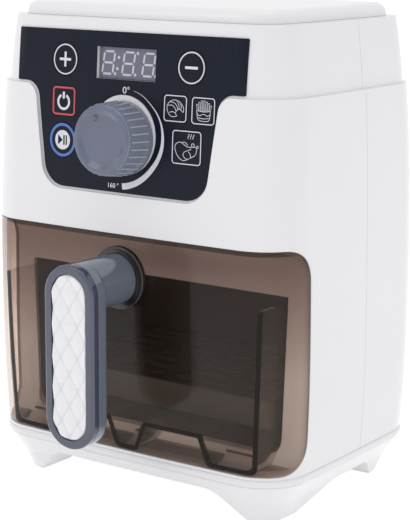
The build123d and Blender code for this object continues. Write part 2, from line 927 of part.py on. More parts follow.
with BuildPart() as rotary_shaft:
    with BuildSketch(knob_seat.offset(-(shaft_root - shaft_clearance))):
        Circle(shaft_radius)
    extrude(amount=shaft_root - shaft_clearance + shaft_tip)
    chamfer(rotary_shaft.edges().sort_by(Axis.Y)[0], shaft_chamfer)
finish(rotary_shaft.part, "rotary_shaft")

# Knob: a tapered, ribbed cap with a dished face and a small pointer dot.
knob_low = knob_boss_proud + knob_lift
knob_length = knob_top - knob_low
knob_slope = degrees(atan((knob_base_radius - knob_front_radius) / knob_length))
upright = (Align.CENTER, Align.CENTER, Align.MIN)
rib_length = knob_length - rib_start - rib_end
rib_centre = (knob_base_radius + knob_front_radius) / 2
with BuildPart(knob_seat) as knob:
    with Locations((0, 0, knob_low)):
        Cone(knob_base_radius, knob_front_radius, knob_length, align=upright)
    fillet(knob.edges().filter_by(GeomType.CIRCLE).sort_by(Axis.Y)[0], knob_edge_round)
    with Locations((0, 0, knob_top - knob_dish)):
        dish_radius = knob_front_radius - knob_rim
        Cone(
            dish_radius - knob_dish_slope, dish_radius, knob_dish,
            align=upright, mode=Mode.SUBTRACT,
        )
    with Locations((0, 0, knob_low)):
        Cone(
            knob_base_radius - knob_wall,
            knob_front_radius - knob_wall,
            knob_length - knob_dish - knob_face,
            align=upright,
            mode=Mode.SUBTRACT,
        )
        Cylinder(knob_hub_radius, knob_length - knob_dish - knob_face / 2, align=upright)
        Cylinder(
            shaft_radius + shaft_clearance,
            shaft_tip - knob_low + shaft_clearance,
            align=upright,
            mode=Mode.SUBTRACT,
        )
    with Locations((0, 0, knob_low + rib_start + rib_length / 2)):
        with PolarLocations(rib_centre, rib_count):
            Box(2 * rib_proud, rib_width, rib_length, rotation=(0, -knob_slope, 0))
    with Locations((0, 0, knob_top - knob_dish)):
        with PolarLocations(pointer_reach, 1, start_angle=90 + pointer_angle):
            Cone(pointer_radius, pointer_tip_radius, pointer_proud, align=upright)
finish(knob.part, "knob")

# Smoked tray behind the front: thin walls and a floor with two raised ridges.


def tray_section(shrink, lift, foot_round):
    """Front view of the tray's outline, drawn in by shrink: its wall gives its inside.

    Its floor can be lifted; the ridges on it keep their tops and their slopes.
    """
    low = tray_low + lift + shrink
    high = tray_top + shrink
    ridge = tray_low + ridge_height + shrink
    step = ridge_slope / 2
    run = ridge_slope * lift / ridge_height
    lean = shrink / 2
    right = [
        (ridge_inner - step - lean + run, low),
        (ridge_inner + step - lean, ridge),
        (ridge_outer - step + lean, ridge),
        (ridge_outer + step + lean - run, low),
        (tray_bottom_half + tray_taper * lift - shrink, low),
        (tray_top_half - shrink, high),
    ]
    left = [(-x, z) for x, z in reversed(right)]
    rounds = [ridge_round, ridge_round, ridge_round, ridge_round, foot_round, 0]
    with BuildSketch(Plane.XZ) as section:
        with BuildLine():
            FilletPolyline(*right, *left, radius=rounds + rounds[::-1], close=True)
        make_face()
    return section.sketch


def tray_form(shrink):
    """The tray's form, drawn in by shrink, rounded at its two rear corners.

    Its underside rises behind the pocket's lower corner, to run on the bay's floor.
    """
    back = tray_back - shrink
    corner_y, corner_z = window_corner
    with BuildPart() as form:
        extrude(tray_section(shrink, 0, tray_foot_round), amount=reach)
        with BuildSketch(Plane.YZ):
            with Locations((corner_y + reach / 2, corner_z - reach / 2)):
                Rectangle(reach, reach)
            with Locations(window_corner):
                Circle(window_round - running_gap - shrink, mode=Mode.SUBTRACT)
        extrude(amount=reach, both=True, mode=Mode.SUBTRACT)
        lifted = tray_section(shrink, tray_lift, bay_corner)
        extrude(lifted, amount=-corner_y)
        extrude(lifted, amount=-back)
        with BuildSketch(Plane.XY) as plan:
            with Locations((0, (back - reach) / 2)):
                Rectangle(2 * (tray_top_half - shrink), back + reach)
            fillet(plan.vertices().group_by(Axis.Y)[-1], tray_corner - shrink)
        extrude(amount=reach, mode=Mode.INTERSECT)
    return form.part


# Smoked drawer front: a cap over the pocket, open at the back.
drawer_inside = inside_form(
    drawer_front_wall,
    (-reach, -reach, window_low + drawer_clearance + drawer_front_wall),
    (reach, 0, window_high - drawer_clearance - drawer_front_wall),
)
with BuildPart() as tray_room:
    add(tray_form(-screw_gap))
    add(casing_form(drawer_front_wall), mode=Mode.INTERSECT)

with BuildPart() as drawer_front:
    extrude(window_profile(-drawer_clearance), amount=reach, both=True)
    add(casing_form(0), mode=Mode.INTERSECT)
    add(drawer_inside, mode=Mode.SUBTRACT)
    add(tray_room.part, mode=Mode.SUBTRACT)
    neck_face = Plane(origin=(0, 0, neck_height), x_dir=(1, 0, 0), z_dir=(0, -1, 0))
    with BuildSketch(neck_face):
        Circle(screw_radius + 2 * screw_gap)
        with GridLocations(neck_pin_spacing, 0, 2, 1):
            Circle(neck_pin_radius + 2 * screw_gap)
    extrude(amount=half_depth + wall, mode=Mode.SUBTRACT)
finish(drawer_front.part, "drawer_front")

with BuildPart() as drawer_tray:
    add(tray_form(0))
    add(tray_form(tray_wall), mode=Mode.SUBTRACT)
    add(casing_form(drawer_front_wall + screw_gap), mode=Mode.INTERSECT)
finish(drawer_tray.part, "drawer_tray")

# Crisper plate: a slotted plate on a shallow skirt that stands on the tray's ridges.
plate_low = plate_top - plate_thickness
plate_half = tray_bottom_half - tray_wall - plate_gap
plate_back = tray_back - tray_wall - plate_gap
plate_foot = tray_low + tray_wall + ridge_height + running_gap
plate_middle = (plate_front + plate_back) / 2
with BuildPart() as crisper_plate:
    with BuildSketch(Plane.XY.offset(plate_foot)):
        with Locations((0, plate_middle)):
            RectangleRounded(2 * plate_half, plate_back - plate_front, tray_corner)
    extrude(amount=plate_top - plate_foot)
    fillet(crisper_plate.faces().sort_by(Axis.Z)[-1].edges(), plate_thickness / 2)
    with BuildSketch(Plane.XY.offset(plate_foot)):
        with Locations((0, plate_middle)):
            RectangleRounded(
                2 * (plate_half - plate_skirt),
                plate_back - plate_front - 2 * plate_skirt,
                tray_corner - plate_skirt,
            )
    extrude(amount=plate_low - plate_foot, mode=Mode.SUBTRACT)
    with BuildSketch(Plane.XY.offset(plate_foot)):
        with Locations((0, plate_middle)):
            column_pitch = (2 * plate_half - 2 * slot_width) / slot_columns
            row_pitch = (plate_back - plate_front - 2 * slot_width) / slot_rows
            with GridLocations(column_pitch, row_pitch, slot_columns, slot_rows):
                SlotOverall(slot_length, slot_width)
    extrude(amount=plate_top, mode=Mode.SUBTRACT)
finish(crisper_plate.part, "crisper_plate")

# Handle: a stepped collar, the neck with the grip's back, its front frame and the insert.
grip_seam = grip_face + grip_frame_depth
grip_back = grip_seam + grip_back_depth
grip_middle = neck_height + neck_radius - grip_length / 2
front_skin = casing_form(-screw_gap)
neck_run = -grip_back - half_depth + wall

with BuildPart() as handle_collar:
    with BuildSketch(neck_face.offset(half_depth - wall)):
        Circle(collar_radius)
    extrude(amount=wall + collar_depth)
    fillet(handle_collar.edges().sort_by(Axis.Y)[0], collar_inner_depth / 2)
    with BuildSketch(neck_face.offset(half_depth - wall)):
        Circle(collar_inner_radius)
    extrude(amount=wall + collar_depth + collar_inner_depth)
    with BuildSketch(neck_face.offset(half_depth - wall)):
        Circle(neck_radius + collar_gap)
    extrude(amount=2 * wall + collar_depth, mode=Mode.SUBTRACT)
    add(front_skin, mode=Mode.SUBTRACT)
finish(handle_collar.part, "handle_collar")

with BuildPart() as handle_back:
    extrude(stadium(grip_length, grip_width, grip_back), amount=grip_back_depth - grip_gap)
    fillet(handle_back.faces().sort_by(Axis.Y)[-1].edges(), grip_back_round)
    with BuildSketch(neck_face.offset(half_depth - wall)):
        Circle(neck_radius)
    extrude(amount=neck_run + grip_back_round)
    extrude(
        stadium(grip_length - 2 * grip_wall, grip_width - 2 * grip_wall, grip_back - grip_wall),
        amount=grip_back_depth,
        mode=Mode.SUBTRACT,
    )
    add(front_skin, mode=Mode.SUBTRACT)
    with BuildSketch(neck_face.offset(half_depth - neck_pin_length)):
        with GridLocations(neck_pin_spacing, 0, 2, 1):
            Circle(neck_pin_radius)
    extrude(amount=2 * neck_pin_length)
    with BuildSketch(neck_face):
        Circle(screw_radius + screw_gap)
    extrude(amount=half_depth - drawer_front_wall + handle_screw_length, mode=Mode.SUBTRACT)
finish(handle_back.part, "handle_back")

with BuildPart() as handle_front:
    extrude(stadium(grip_length, grip_width, grip_seam), amount=grip_frame_depth)
    fillet(handle_front.faces().sort_by(Axis.Y)[0].edges(), grip_front_round)
    extrude(
        stadium(insert_length, insert_width, grip_face, insert_gap),
        amount=-insert_pocket,
        mode=Mode.SUBTRACT,
    )
    extrude(
        stadium(insert_length, insert_width, grip_face, -grip_wall),
        amount=-grip_frame_depth,
        mode=Mode.SUBTRACT,
    )
finish(handle_front.part, "handle_front")

insert_seat = grip_face + insert_pocket - grip_gap / 2
insert_place = Plane(origin=(0, insert_seat, grip_middle), x_dir=(1, 0, 0), z_dir=(0, -1, 0))
with BuildPart() as diamonds:
    columns = int(insert_width / diamond_width) + 3
    rows = int(insert_length / diamond_height) + 3
    with BuildSketch(insert_place.offset(insert_base - grip_gap)):
        for shift in (0, 1):
            with Locations((shift * diamond_width / 2, shift * diamond_height / 2)):
                with GridLocations(diamond_width, diamond_height, columns, rows):
                    Polygon(
                        (0, diamond_height / 2 - diamond_groove),
                        (diamond_width / 2 - diamond_groove, 0),
                        (0, -diamond_height / 2 + diamond_groove),
                        (-diamond_width / 2 + diamond_groove, 0),
                    )
    extrude(amount=diamond_proud, taper=diamond_taper)
    extrude(stadium(insert_length, insert_width, insert_seat), amount=insert_pocket + diamond_proud,
            mode=Mode.INTERSECT)

with BuildPart() as handle_insert:
    extrude(stadium(insert_length, insert_width, insert_seat), amount=insert_base)
    add(diamonds.part)
finish(handle_insert.part, "handle_insert")

neck_screw_seat = -(half_depth_at(neck_height) - drawer_front_wall) + screw_gap
handle_screw = screw(
    Plane(origin=(0, neck_screw_seat, neck_height), z_dir=(0, 1, 0)), handle_screw_length
)
finish(handle_screw, "handle_screw")

# Battery box, open to the rear, with its cells and spring contacts.
box_back_form = casing_form(wall + box_gap)
with BuildPart() as battery_box:
    add(block(
        (-box_half - box_wall, box_front - box_wall, box_low - box_wall),
        (box_half + box_wall, rear_reach, box_high + box_wall),
    ))
    add(block((-box_half, box_front, box_low), (box_half, rear_reach, box_high)),
        mode=Mode.SUBTRACT)
    add(box_back_form, mode=Mode.INTERSECT)
    for x in tab_x:
        add(
            outside_form(
                wall + door_thickness,
                (x - tab_width / 2 - 2 * door_gap, 0, box_low - 2 * box_wall),
                (x + tab_width / 2 + 2 * door_gap, rear_reach, box_low + box_wall),
            ),
            mode=Mode.SUBTRACT,
        )
finish(battery_box.part, "battery_box")

with BuildPart() as batteries:
    for i, x in enumerate(cell_x):
        facing = 1 if i % 2 == 0 else -1
        end = cell_level - facing * cell_length / 2
        place = Plane(origin=(x, cell_depth, end), z_dir=(0, 0, facing))
        with BuildSketch(place):
            Circle(cell_radius)
        extrude(amount=cell_length - cell_nub)
        with BuildSketch(place):
            Circle(cell_nub_radius)
        extrude(amount=cell_length)
finish(batteries.part, "batteries")

with BuildPart() as battery_contacts:
    for x in cell_x:
        for facing, wall_height in ((1, box_low), (-1, box_high)):
            place = Plane(
                origin=(x - contact_width / 2, cell_depth, wall_height + facing * box_gap),
                x_dir=(0, facing, 0),
                z_dir=(1, 0, 0),
            )
            rise = cell_end_room - 2 * contact_thickness
            with BuildSketch(place):
                with BuildLine():
                    Polyline(
                        (-contact_width / 2, contact_thickness / 2),
                        (contact_width / 2, contact_thickness / 2),
                        (contact_width / 4, rise),
                        (-contact_width / 4, rise),
                    )
                trace(line_width=contact_thickness)
            extrude(amount=contact_width)
finish(battery_contacts.part, "battery_contacts")
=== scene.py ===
import json
import math

import bmesh
import bpy
from mathutils import Matrix, Vector
from mathutils.bvhtree import BVHTree


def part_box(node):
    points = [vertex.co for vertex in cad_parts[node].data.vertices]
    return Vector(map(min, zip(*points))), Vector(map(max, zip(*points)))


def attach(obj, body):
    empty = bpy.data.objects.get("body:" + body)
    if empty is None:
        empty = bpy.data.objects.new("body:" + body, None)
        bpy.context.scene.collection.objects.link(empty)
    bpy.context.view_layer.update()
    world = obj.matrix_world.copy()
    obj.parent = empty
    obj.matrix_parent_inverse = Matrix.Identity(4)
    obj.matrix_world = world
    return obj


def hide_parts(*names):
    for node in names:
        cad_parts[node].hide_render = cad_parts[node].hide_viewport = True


# Toy air fryer: looks, printed marks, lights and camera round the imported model.
# Lengths are millimetres where nothing else is said, and become metres on the way in.

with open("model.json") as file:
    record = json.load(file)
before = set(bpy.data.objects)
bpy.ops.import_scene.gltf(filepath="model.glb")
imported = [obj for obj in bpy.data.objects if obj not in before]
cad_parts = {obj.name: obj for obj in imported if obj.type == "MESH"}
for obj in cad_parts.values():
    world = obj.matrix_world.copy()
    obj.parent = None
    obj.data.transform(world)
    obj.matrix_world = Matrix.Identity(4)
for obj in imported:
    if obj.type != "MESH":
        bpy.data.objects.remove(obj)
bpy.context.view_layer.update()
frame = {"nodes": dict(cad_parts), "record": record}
nodes = frame["nodes"]
mm = 0.001


# Scales of the noise that clouds a surface: moulded plastic, haze, ink and metal. Then the
# scale of the moulding grain, and the depth that it mostly has.
cloud_scale = 60.0
haze_scale = 40.0
ink_scale = 300.0
metal_scale = 400.0
grain_scale = 2500.0
fine_grain = 0.004
# The full range of a factor.
whole = (0.0, 1.0)


# Node helpers. Their owner is a material or the world.
def plug(owner, socket, value):
    """Link a socket to an output, or set it to a plain number, vector or colour."""
    if isinstance(value, bpy.types.NodeSocket):
        owner.node_tree.links.new(value, socket)
    elif socket.type == "RGBA":
        socket.default_value = (*value, 1.0)
    else:
        socket.default_value = value


def plug_named(owner, node, **sockets):
    """Plug a node's sockets, each by its name with underscores for spaces."""
    for name, value in sockets.items():
        plug(owner, node.inputs[name.replace("_", " ")], value)


def plug_first(owner, node, *values):
    """Plug a node's first sockets in their order."""
    for socket, value in zip(node.inputs, values):
        plug(owner, socket, value)


def add_node(owner, kind, **sockets):
    """A shader node with its sockets plugged by name."""
    node = owner.node_tree.nodes.new(f"ShaderNode{kind}")
    plug_named(owner, node, **sockets)
    return node


def new_material(name, **sockets):
    """A material and its Principled shader, with sockets plugged by name."""
    material = bpy.data.materials.new(name)
    material.use_nodes = True
    shader = material.node_tree.nodes["Principled BSDF"]
    plug_named(material, shader, **sockets)
    return material, shader


def texture(owner, scale, detail=3.0, stretch=(1.0, 1.0, 1.0), rough=0.5):
    """Noise in the object's own coordinates, stretched if asked. Gives its factor."""
    place = add_node(owner, "TexCoord").outputs["Object"]
    mapping = add_node(owner, "Mapping", Vector=place, Scale=stretch)
    noise = add_node(owner, "TexNoise", Vector=mapping.outputs["Vector"], Scale=scale,
                     Detail=detail, Roughness=rough)
    return noise.outputs["Fac"]


def spread(owner, factor, low, high, ends=(0.3, 0.7)):
    """A factor mapped to a range of numbers."""
    node = add_node(owner, "MapRange", Value=factor, From_Min=ends[0], From_Max=ends[1],
                    To_Min=low, To_Max=high)
    return node.outputs["Result"]


def shades(owner, factor, dark, light, ends=(0.3, 0.7)):
    """A factor mapped to a range of colours."""
    ramp = add_node(owner, "ValToRGB", Fac=factor)
    first, last = ramp.color_ramp.elements
    first.position, last.position = ends
    first.color, last.color = (*dark, 1.0), (*light, 1.0)
    return ramp.outputs["Color"]


def compute(owner, operation, first, second=0.0):
    """One math step on factors or plain numbers."""
    node = add_node(owner, "Math")
    node.operation = operation
    plug_first(owner, node, first, second)
    return node.outputs["Value"]


def above(owner, value, limit, sign=1.0):
    """1 where a value times a sign is over a limit, 0 elsewhere."""
    signed = compute(owner, "MULTIPLY", value, sign)
    return compute(owner, "GREATER_THAN", signed, limit)


def axes(owner, kind):
    """The X, Y and Z of a coordinate: the place for Object, the face's direction for Normal."""
    place = add_node(owner, "TexCoord").outputs[kind]
    return add_node(owner, "SeparateXYZ", Vector=place).outputs


def blend(owner, factor, under, over):
    """Two shader nodes' outputs mixed by a factor or a plain share."""
    node = add_node(owner, "MixShader")
    plug_first(owner, node, factor, under, over)
    return node.outputs["Shader"]


def relief(owner, shader, factor, depth, edge=0.0):
    """Fine surface relief over softly rounded edges, both in millimetres."""
    bump = add_node(owner, "Bump", Distance=depth * mm, Height=factor)
    if edge:
        bevel = add_node(owner, "Bevel", Radius=edge * mm)
        bevel.samples = 6
        plug(owner, bump.inputs["Normal"], bevel.outputs["Normal"])
    plug(owner, shader.inputs["Normal"], bump.outputs["Normal"])


def grained(owner, shader, depth, edge=0.0):
    """Relief of a fine moulding grain."""
    relief(owner, shader, texture(owner, grain_scale, detail=2.0), depth, edge)


def moulded(name, dark, light, rough, grain=0.01, cloud=cloud_scale, edge=0.0, **sockets):
    """Moulded plastic: faint clouds of shade and gloss, and a fine moulding grain."""
    material, shader = new_material(name, **sockets)
    clouds = texture(material, cloud)
    plug_named(material, shader, Base_Color=shades(material, clouds, dark, light),
               Roughness=spread(material, clouds, *rough))
    grained(material, shader, grain, edge)
    return material


# The quilted insert's diamonds: their pitch across and up, the height of their middle, and the
# swell up to which their grooves get painted shade.
quilt_pitch = (8.2, 12.5)
quilt_middle = 66.5
groove_shade_reach = 0.22


def quilted_white():
    """Soft white plastic, with painted shade in the grooves that cross its face."""
    material, shader = new_material("insert_white")
    place = axes(material, "Object")
    across = compute(material, "MULTIPLY", place["X"], math.pi / (quilt_pitch[0] * mm))
    raised = compute(material, "SUBTRACT", place["Z"], quilt_middle * mm)
    along = compute(material, "MULTIPLY", raised, math.pi / (quilt_pitch[1] * mm))
    waves = [
        compute(material, "COSINE", compute(material, operation, across, along))
        for operation in ("ADD", "SUBTRACT")
    ]
    swell = compute(material, "ABSOLUTE", compute(material, "MULTIPLY", *waves))
    # Painted shade: the colour greys towards each groove.
    colour = shades(material, swell, (0.75, 0.75, 0.79), (0.86, 0.86, 0.89), (0.0, groove_shade_reach))
    rough = spread(material, texture(material, cloud_scale), 0.24, 0.30)
    plug_named(material, shader, Base_Color=colour, Roughness=rough)
    grained(material, shader, fine_grain)
    return material


# The knob: its lean in degrees, where its axis lies once that lean is turned away, its ribs,
# the radius where its side starts, and how far out along the axis the ribs end and start.
knob_lean = 3.0
knob_axis = (0.4, 144.865)
rib_count = 30.0
knob_side_radius = 13.3
rib_ends = (59.6, 49.9)
# The part of a rib's wave that gets a painted highlight.
rib_glint_part = (0.55, 0.85)
# A Mix node's sockets for colours: its factor, its two colours and its result.
mix_inputs, mix_result = (0, 6, 7), 2


def ribbed_grey():
    """The knob's grey plastic, with a painted highlight along each rib and painted light that
    makes its side a little paler.
    """
    material, shader = new_material("knob_grey")
    turned = add_node(
        material, "Mapping",
        Vector=add_node(material, "TexCoord").outputs["Object"],
        Rotation=(math.radians(knob_lean), 0.0, 0.0),
        Location=(-knob_axis[0] * mm, 0.0, -knob_axis[1] * mm),
    )
    split = add_node(material, "SeparateXYZ", Vector=turned.outputs["Vector"])
    across, out, up = (split.outputs[axis] for axis in "XYZ")
    angle = compute(material, "ARCTAN2", up, across)
    wave = compute(material, "COSINE", compute(material, "MULTIPLY", angle, rib_count))
    squares = [compute(material, "POWER", length, 2.0) for length in (across, up)]
    radius = compute(material, "SQRT", compute(material, "ADD", *squares))
    side = above(material, radius, knob_side_radius * mm)
    # Painted highlight: a paler stripe along each rib of the side.
    rib_glints = compute(material, "MULTIPLY", spread(material, wave, *whole, rib_glint_part), side)
    band = compute(material, "MULTIPLY", above(material, out, -rib_ends[0] * mm),
                   above(material, out, rib_ends[1] * mm, sign=-1.0))
    rib_glints = compute(material, "MULTIPLY", rib_glints, band)
    clouds = texture(material, cloud_scale)
    face = shades(material, clouds, (0.128, 0.144, 0.214), (0.140, 0.156, 0.226))
    # Painted light: the side is paler than the face, and paler still along the ribs.
    lit_side = shades(material, rib_glints, (0.225, 0.248, 0.330), (0.40, 0.43, 0.52), whole)
    mixed = add_node(material, "Mix")
    mixed.data_type = "RGBA"
    for place, value in zip(mix_inputs, (side, face, lit_side)):
        plug(material, mixed.inputs[place], value)
    plug_named(material, shader, Base_Color=mixed.outputs[mix_result],
               Roughness=spread(material, clouds, 0.12, 0.18))
    grained(material, shader, fine_grain, edge=0.2)
    return material


# How much the film's brushing is squeezed along each axis.
brushing = (2600.0, 600.0, 26.0)


def film():
    """Near-black film with fine upright brushing."""
    material, shader = new_material("panel_film", Specular_IOR_Level=0.15)
    brushed = texture(material, 1.0, detail=4.0, stretch=brushing, rough=0.6)
    colour = shades(material, brushed, (0.004, 0.007, 0.016), (0.008, 0.011, 0.023))
    plug_named(material, shader, Base_Color=colour,
               Roughness=spread(material, brushed, 0.28, 0.38))
    relief(material, shader, brushed, fine_grain)
    return material


# The smoked pieces' edges, in metres. The front's cut ends lie behind the first place and its
# upper edge over the second, and the tray's front edge lies at least this far forward.
cap_back = -0.033
cap_top = 0.1
tray_front = 0.025
# The dark rim of the front's cut ends, which paints the shadow of the gap round the front, the
# heights where their outer line is read, how near a corner lies to a height to count there, and
# how near the rearmost corner to be on the ends.
rim_width = 0.0008
rim_levels = (0.035, 0.065, 0.095)
rim_reach = 0.012
end_depth = 0.0005
# How far a face is turned back, up or forward to count as an edge.
turned_back, turned_up, turned_front = 0.3, 0.5, 0.55
# How dark the ends inside their rim and the upper edge are, where the rim has 1; the rim and the
# upper edge carry a painted shadow of the gap.
inner_dark, upper_gap_shade = 0.25, 0.6


def wall_line():
    """The half width a + b z + c z z of the front's side walls, read at their cut ends."""
    corners = [vertex.co for vertex in nodes["drawer_front"].data.vertices]
    back = max(corner.y for corner in corners)
    ends = [corner for corner in corners if corner.y > back - end_depth]
    found = []
    for level in rim_levels:
        near = [corner for corner in ends if abs(corner.z - level) < rim_reach]
        found.append(max((abs(corner.x), corner.z) for corner in near))
    (x_0, z_0), (x_1, z_1), (x_2, z_2) = found
    slope = (x_1 - x_0) / (z_1 - z_0)
    bow = ((x_2 - x_1) / (z_2 - z_1) - slope) / (z_2 - z_0)
    return x_0 - slope * z_0 + bow * z_0 * z_1, slope - bow * (z_0 + z_1), bow


def cap_edges(owner):
    """The front's outline: the cut ends of its side walls, darkest at their rim, and its
    upper edge. The rim and the upper edge are painted shadow of the gap round the front, over
    the real dark of the cut ends."""
    facing, place = axes(owner, "Normal"), axes(owner, "Object")
    ends = compute(owner, "MULTIPLY", above(owner, facing["Y"], turned_back),
                   above(owner, place["Y"], cap_back))
    start, slope, bow = wall_line()
    width = compute(owner, "ADD", compute(owner, "MULTIPLY", place["Z"], bow), slope)
    width = compute(owner, "ADD", compute(owner, "MULTIPLY", width, place["Z"]), start)
    beyond = compute(owner, "SUBTRACT", compute(owner, "ABSOLUTE", place["X"]), width)
    # Painted shadow: the rim line at the outer edge stands for the shadow of the gap.
    rim = above(owner, beyond, -rim_width)
    ends = compute(owner, "MULTIPLY", ends, spread(owner, rim, inner_dark, 1.0, whole))
    # Painted shadow: the upper edge darkens as the gap's shadow above the front.
    upper = compute(owner, "MULTIPLY", above(owner, facing["Z"], turned_up),
                    above(owner, place["Z"], cap_top))
    return compute(owner, "MAXIMUM", ends, compute(owner, "MULTIPLY", upper, upper_gap_shade))


def tray_edges(owner):
    """The tray's cut front edges, which face the front plate."""
    facing, place = axes(owner, "Normal"), axes(owner, "Object")
    return compute(owner, "MULTIPLY", above(owner, facing["Y"], turned_front, sign=-1.0),
                   above(owner, place["Y"], tray_front, sign=-1.0))


# The smoked plastic: the heights in metres between which it darkens upward, a painted shade,
# the share of haze in it, the share of the light that a cut edge loses (on the front plate
# partly a painted shadow of the gap), and its gloss: how rough it is, how strong edge on, and
# how late it grows to that.
smoke_shade_rise = (0.060, 0.105)
haze_share = 0.05
edge_loss_and_gap_shade = 0.85
gloss_rough = 0.03
gloss_edge_on = 0.75
gloss_growth = 4.0


def smoked(name, edges, shine, low, high):
    """Clear smoked plastic: each face lets a brown share of the light through, from low to
    high as it rises, darker upward as painted shade, with a faint haze in it and a clear gloss
    over it that grows towards the edges. Where edges gives 1, the light is lost along the sheet,
    so its cut edge looks nearly black; on the front plate that dark also paints the shadow of
    the gap round it."""
    material, haze = new_material(name, Specular_IOR_Level=0.0, Roughness=0.5)
    clouds = texture(material, haze_scale)
    hazy = shades(material, clouds, (0.170, 0.122, 0.100), (0.200, 0.146, 0.120))
    plug_named(material, haze, Base_Color=hazy)
    level = axes(material, "Object")["Z"]
    # Painted shade: the tint darkens as the face rises, where the pocket's ceiling shades it.
    tint = shades(material, level, low, high, smoke_shade_rise)
    clear = add_node(material, "BsdfTransparent", Color=tint)
    body = blend(material, haze_share, clear.outputs["BSDF"], haze.outputs["BSDF"])
    dark = add_node(material, "BsdfDiffuse", Color=(0.012, 0.010, 0.010))
    # Where the edges mask has 1 the sheet goes dark: the real dark of a cut edge, and on the
    # front plate a painted shadow of the gap.
    lost_or_shaded = spread(material, edges(material), 0.0, edge_loss_and_gap_shade, whole)
    sheet = blend(material, lost_or_shaded, body, dark.outputs["BSDF"])
    gloss = add_node(material, "BsdfGlossy", Roughness=gloss_rough)
    facing = add_node(material, "LayerWeight", Blend=0.5).outputs["Facing"]
    steep = compute(material, "POWER", facing, gloss_growth)
    amount = spread(material, steep, shine, gloss_edge_on, whole)
    surface = blend(material, amount, sheet, gloss.outputs["BSDF"])
    plug_named(material, material.node_tree.nodes["Material Output"], Surface=surface)
    return material


def metal(name, dark, light, rough):
    """Plated or bare metal with faint brushing."""
    material, shader = new_material(name, Metallic=1.0)
    clouds = texture(material, metal_scale)
    plug_named(material, shader, Base_Color=shades(material, clouds, dark, light),
               Roughness=spread(material, clouds, *rough))
    return material


# Printed ink: how much lighter its clouds are, and its range of roughness.
ink_lift = 1.06
ink_rough = (0.42, 0.5)


def ink(name, colour, shine=0.4):
    """Printed ink: even in colour, a little uneven in gloss."""
    lighter = tuple(min(1.0, ink_lift * c) for c in colour)
    return moulded(name, colour, lighter, ink_rough, grain=0.002, cloud=ink_scale,
                   Specular_IOR_Level=shine)


# The finishes: each plastic's darkest and lightest colour, then its range of roughness.
white = moulded("white_casing", (0.842, 0.838, 0.858), (0.850, 0.846, 0.866), (0.28, 0.31),
                fine_grain, edge=0.4)
insert_white = quilted_white()
knob_grey = ribbed_grey()
handle_grey = moulded("handle_grey", (0.150, 0.172, 0.220), (0.158, 0.182, 0.232), (0.04, 0.07),
                      grain=0.002, edge=0.3, Specular_IOR_Level=1.0)
frame_grey = moulded("frame_grey", (0.058, 0.066, 0.108), (0.063, 0.072, 0.116), (0.04, 0.07),
                     grain=0.002, edge=0.3, Specular_IOR_Level=0.7)
collar_dark = moulded("collar_dark", (0.018, 0.016, 0.016), (0.024, 0.022, 0.022), (0.10, 0.16),
                      fine_grain, edge=0.2)
black = moulded("black_plastic", (0.014, 0.012, 0.011), (0.020, 0.017, 0.015), (0.45, 0.55),
                grain=0.006)
display_grey = moulded("display_face", (0.150, 0.150, 0.205), (0.160, 0.160, 0.215), (0.3, 0.4))
board_green = moulded("board_green", (0.035, 0.170, 0.075), (0.055, 0.230, 0.105), (0.35, 0.5))
cell_wrap = moulded("cell_wrap", (0.26, 0.27, 0.29), (0.33, 0.34, 0.36), (0.25, 0.35))
steel = metal("steel", (0.52, 0.52, 0.54), (0.66, 0.66, 0.68), (0.25, 0.4))
smoked_front = smoked("smoked_front", cap_edges, shine=0.012, low=(0.936, 0.881, 0.842),
                      high=(0.690, 0.612, 0.578))
smoked_tray = smoked("smoked_tray", tray_edges, shine=0.008, low=(0.955, 0.930, 0.915),
                     high=(0.930, 0.890, 0.870))
panel_black = film()
ink_white = ink("ink_white", (0.72, 0.72, 0.78))
ink_pale = ink("ink_pale", (0.70, 0.70, 0.76))
ink_red = ink("ink_red", (0.55, 0.075, 0.085))
ink_blue = ink("ink_blue", (0.085, 0.185, 0.53))
segment_pale = ink("segment_pale", (0.60, 0.60, 0.68))
bond_dark = ink("bond_dark", (0.006, 0.005, 0.005), shine=0.0)

# Every CAD node's finish, by the record's slots.
finishes = {
    "white_casing": white,
    "panel_film": panel_black,
    "display_face": display_grey,
    "knob_grey": knob_grey,
    "handle_grey": handle_grey,
    "insert_white": insert_white,
    "collar_dark": collar_dark,
    "smoked_plastic": smoked_front,
    "black_plastic": black,
    "board_green": board_green,
    "cell_wrap": cell_wrap,
    "steel": steel,
}
for row in frame["record"]["subparts"]:
    mesh = nodes[row["node"]].data
    mesh.materials.clear()
    mesh.materials.append(finishes[row["material_slot"]])
nodes["drawer_tray"].data.materials[0] = smoked_tray
nodes["handle_front"].data.materials[0] = frame_grey


# Lines as points, in millimetres across and up the front.
def arc(x, z, radius, start, end, count=40):
    """Points on an arc, its angles in degrees clockwise from the top."""
    angles = [math.radians(start + (end - start) * i / (count - 1)) for i in range(count)]
    return [(x + radius * math.sin(a), z + radius * math.cos(a)) for a in angles]


def circle(x, z, radius, count=40):
    """Points on a full circle, clockwise from its top."""
    return arc(x, z, radius, 0.0, 360.0 - 360.0 / count, count)


def rounded_box(x, z, width, tall, radius, count=7):
    """Points round a box with round corners, clockwise from its top left corner."""
    points = []
    for side_x, side_z, start in ((-1, 1, 270), (1, 1, 0), (1, -1, 90), (-1, -1, 180)):
        middle_x = x + side_x * (width / 2 - radius)
        middle_z = z + side_z * (tall / 2 - radius)
        points += arc(middle_x, middle_z, radius, start, start + 90, count)
    return points


